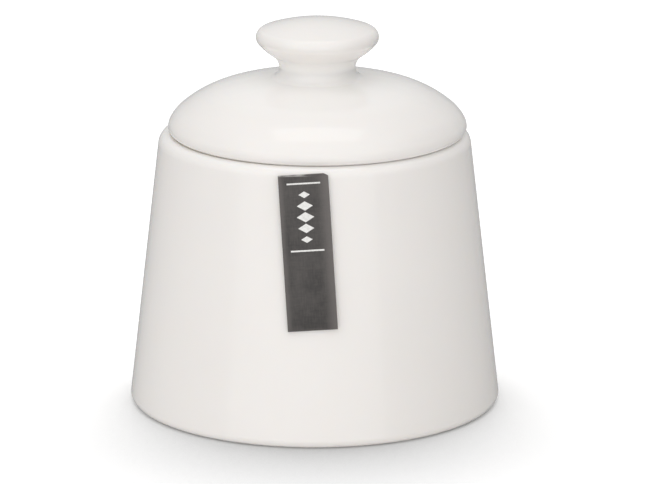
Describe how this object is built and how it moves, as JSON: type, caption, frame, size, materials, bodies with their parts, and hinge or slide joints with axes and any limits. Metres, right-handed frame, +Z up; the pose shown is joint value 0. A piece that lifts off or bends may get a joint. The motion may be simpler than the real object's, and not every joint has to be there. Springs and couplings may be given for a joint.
{
  "type": "lidded sugar bowl",
  "caption": "Lidded porcelain pot with a tapering wall, a lift-off domed lid with a knob, and a folded card label on the front.",
  "frame": {"origin": "centre of the pot at the table, on the plane of its foot ring", "axes": "+Z up along the pot's axis, towards the knob; -Y out of the front, where the label is; +X to the right of someone facing the front"},
  "size_m": [0.0995, 0.0996, 0.1044],
  "materials": {
    "pot": "gloss",
    "lid": "gloss",
    "knob": "gloss",
    "label_backing": "satin",
    "label_cover": "satin",
    "label_adhesive": "satin"
  },
  "bodies": {
    "pot": {"pot": "pot", "label_backing": "label_backing", "label_adhesive": "label_adhesive"},
    "lid": {"lid": "lid", "knob": "knob"},
    "label_cover": {"label_cover": "label_cover"}
  },
  "joints": [
    {"name": "lid_lift", "type": "slide", "parent": "pot", "child": "lid", "axis": [0, 0, 1], "range_m": [0, 0.06]},
    {"name": "label_fold", "type": "hinge", "parent": "pot", "child": "label_cover", "pos_m": [-0.00301, -0.04241, 0.07215], "axis": [-0.9989, 0.0348, -0.0312], "range_deg": [0, 150]}
  ]
}
